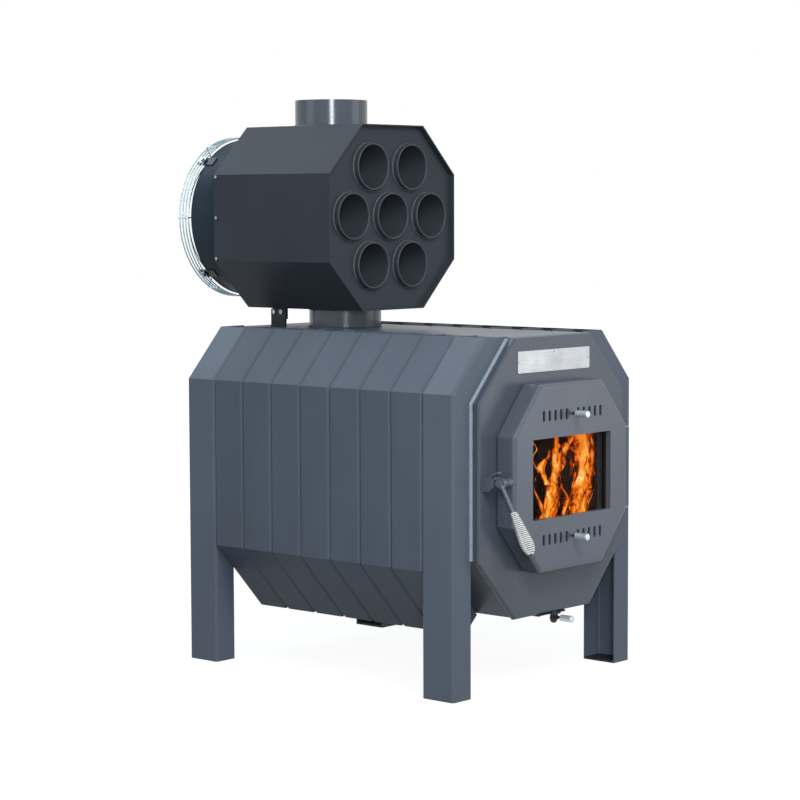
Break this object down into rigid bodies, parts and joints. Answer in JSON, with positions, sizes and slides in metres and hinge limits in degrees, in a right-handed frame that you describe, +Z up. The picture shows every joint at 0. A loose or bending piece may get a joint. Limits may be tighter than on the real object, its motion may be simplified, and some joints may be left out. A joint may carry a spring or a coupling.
{
  "type": "workshop stove",
  "caption": "Steel workshop wood stove with folded convection channels, a windowed loading door, an air-tube heat exchanger above the firebox and a rear blower fan.",
  "frame": {"origin": "on the floor, at the middle of the whole stove's width and length", "axes": "+Z up, -Y to the front (loading door), +X to the right seen from the front"},
  "size_m": [0.6, 1.0412, 1.221],
  "materials": {
    "graphite_coat": "satin graphite powder coat",
    "dark_steel": "matt heat-proof paint",
    "duct_coat": "satin blue-black",
    "liner_slab": "porous vermiculite",
    "cast_iron": "as cast",
    "badge_steel": "brushed",
    "bright_steel": "turned, bright",
    "zinc_steel": "zinc-plated",
    "door_glass": "heat-proof ceramic glass",
    "seal_rope": "braided glass fibre"
  },
  "bodies": {
    "stove": {"firebox_left_wall": "dark_steel", "firebox_right_wall": "dark_steel", "firebox_bottom": "dark_steel", "firebox_top": "dark_steel", "firebox_rear_wall": "dark_steel", "front_plate": "graphite_coat", "left_channels": "graphite_coat", "right_channels": "graphite_coat", "front_left_leg": "graphite_coat", "front_right_leg": "graphite_coat", "rear_left_leg": "graphite_coat", "rear_right_leg": "graphite_coat", "foot_plates": "dark_steel", "floor_slabs": "liner_slab", "wall_slabs": "liner_slab", "grate": "cast_iron", "baffle_plate": "liner_slab", "badge_plate": "badge_steel", "badge_rivets": "badge_steel", "exchanger_casing": "graphite_coat", "front_tube_plate": "dark_steel", "rear_tube_plate": "dark_steel", "air_tube_1": "graphite_coat", "air_tube_2": "graphite_coat", "air_tube_3": "graphite_coat", "air_tube_4": "graphite_coat", "air_tube_5": "graphite_coat", "air_tube_6": "graphite_coat", "air_tube_7": "graphite_coat", "lower_flue_collar": "graphite_coat", "flue_outlet_collar": "graphite_coat", "support_brackets": "graphite_coat", "bracket_bolts": "zinc_steel", "casing_screws": "zinc_steel", "fan_plate": "graphite_coat", "fan_duct": "duct_coat", "guard_straps": "dark_steel", "guard_bolts": "zinc_steel", "fan_guard": "zinc_steel", "fan_motor": "cast_iron", "shutter_rails": "dark_steel", "hinge_frame_leaf": "graphite_coat", "hinge_pin": "bright_steel", "latch_keeper": "graphite_coat"},
    "door": {"door_shell": "graphite_coat", "door_inner_plate": "dark_steel", "door_gasket": "seal_rope", "door_glass": "door_glass", "glass_retainer": "dark_steel", "hinge_door_leaf": "graphite_coat", "slide_rails": "dark_steel"},
    "latch": {"door_handle": "graphite_coat", "handle_grip": "bright_steel"},
    "upper_slide": {"upper_air_slide": "dark_steel", "upper_knob": "bright_steel"},
    "lower_slide": {"lower_air_slide": "dark_steel", "lower_knob": "bright_steel"},
    "shutter": {"bottom_shutter": "dark_steel", "shutter_knob": "bright_steel"},
    "fan": {"fan_impeller": "cast_iron"}
  },
  "joints": [
    {"name": "door_swing", "type": "hinge", "parent": "stove", "child": "door", "pos_m": [0.203, -0.43712, 0.437], "axis": [0, 0, 1], "range_deg": [0, 120]},
    {"name": "latch_lift", "type": "hinge", "parent": "door", "child": "latch", "pos_m": [-0.21, -0.43672, 0.439], "axis": [-1, 0, 0], "range_deg": [0, 45]},
    {"name": "upper_air", "type": "slide", "parent": "door", "child": "upper_slide", "axis": [1, 0, 0], "range_m": [0, 0.0096]},
    {"name": "lower_air", "type": "slide", "parent": "door", "child": "lower_slide", "axis": [1, 0, 0], "range_m": [0, 0.0096]},
    {"name": "bottom_pull", "type": "slide", "parent": "stove", "child": "shutter", "axis": [0, -1, 0], "range_m": [0, 0.06]},
    {"name": "fan_spin", "type": "hinge", "parent": "stove", "child": "fan", "pos_m": [0, 0.45587, 0.964], "axis": [0, 1, 0], "continuous": true}
  ]
}
